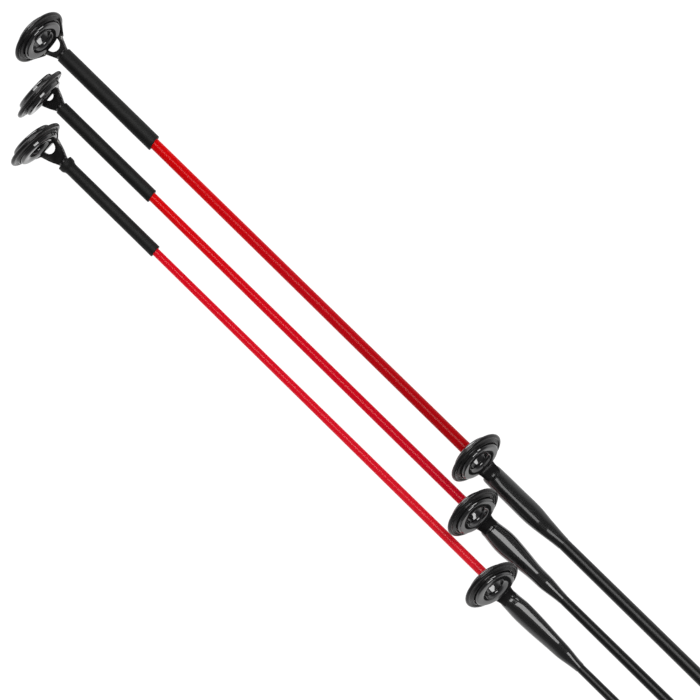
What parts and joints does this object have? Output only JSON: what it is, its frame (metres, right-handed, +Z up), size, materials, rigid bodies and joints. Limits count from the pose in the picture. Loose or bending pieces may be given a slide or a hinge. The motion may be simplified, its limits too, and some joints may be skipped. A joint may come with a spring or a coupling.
{
  "type": "quiver tip set",
  "caption": "Push-in quiver tips for a feeder rod, of rising stiffness: thin tapered rods with a red front section, a tip-top ring, whipped-on ring guides and a plain butt.",
  "frame": {"origin": "middle of the set's footprint, on the surface it lies on", "axes": "+X along the rods from their tips to their butts, +Z up, the side the guide rings stand on; +Y towards the heavy tip"},
  "size_m": [0.3148, 0.0166, 0.0093],
  "materials": {
    "heavy_red_lacquer": "deep red gloss lacquer over glass fibre",
    "medium_red_lacquer": "bright red gloss lacquer over glass fibre",
    "light_red_lacquer": "coral red gloss lacquer over glass fibre",
    "carbon_black": "black rod with fine lengthwise grain, satin",
    "shrink_black": "satin black shrink tube",
    "black_coated_steel": "glossy black coating on stamped steel",
    "dark_ceramic": "polished dark grey ceramic",
    "varnished_thread": "black thread under clear gloss varnish"
  },
  "bodies": {
    "medium_tip": {"medium_tip_section": "medium_red_lacquer", "medium_blank": "carbon_black", "medium_sleeve": "shrink_black", "medium_tip_top_frame": "black_coated_steel", "medium_tip_top_ring": "dark_ceramic", "medium_guide_1_frame": "black_coated_steel", "medium_guide_1_ring": "dark_ceramic", "medium_guide_1_whipping": "varnished_thread", "medium_guide_2_frame": "black_coated_steel", "medium_guide_2_ring": "dark_ceramic", "medium_guide_2_whipping": "varnished_thread", "medium_guide_3_frame": "black_coated_steel", "medium_guide_3_ring": "dark_ceramic", "medium_guide_3_whipping": "varnished_thread"},
    "heavy_tip": {"heavy_tip_section": "heavy_red_lacquer", "heavy_blank": "carbon_black", "heavy_sleeve": "shrink_black", "heavy_tip_top_frame": "black_coated_steel", "heavy_tip_top_ring": "dark_ceramic", "heavy_guide_1_frame": "black_coated_steel", "heavy_guide_1_ring": "dark_ceramic", "heavy_guide_1_whipping": "varnished_thread", "heavy_guide_2_frame": "black_coated_steel", "heavy_guide_2_ring": "dark_ceramic", "heavy_guide_2_whipping": "varnished_thread", "heavy_guide_3_frame": "black_coated_steel", "heavy_guide_3_ring": "dark_ceramic", "heavy_guide_3_whipping": "varnished_thread"},
    "light_tip": {"light_tip_section": "light_red_lacquer", "light_blank": "carbon_black", "light_sleeve": "shrink_black", "light_tip_top_frame": "black_coated_steel", "light_tip_top_ring": "dark_ceramic", "light_guide_1_frame": "black_coated_steel", "light_guide_1_ring": "dark_ceramic", "light_guide_1_whipping": "varnished_thread", "light_guide_2_frame": "black_coated_steel", "light_guide_2_ring": "dark_ceramic", "light_guide_2_whipping": "varnished_thread", "light_guide_3_frame": "black_coated_steel", "light_guide_3_ring": "dark_ceramic", "light_guide_3_whipping": "varnished_thread"}
  },
  "joints": [
    {"name": "heavy_tip_slide", "type": "slide", "parent": "medium_tip", "child": "heavy_tip", "axis": [0, 1, 0], "range_m": [0, 0.05]},
    {"name": "light_tip_slide", "type": "slide", "parent": "medium_tip", "child": "light_tip", "axis": [0, -1, 0], "range_m": [0, 0.05]}
  ]
}
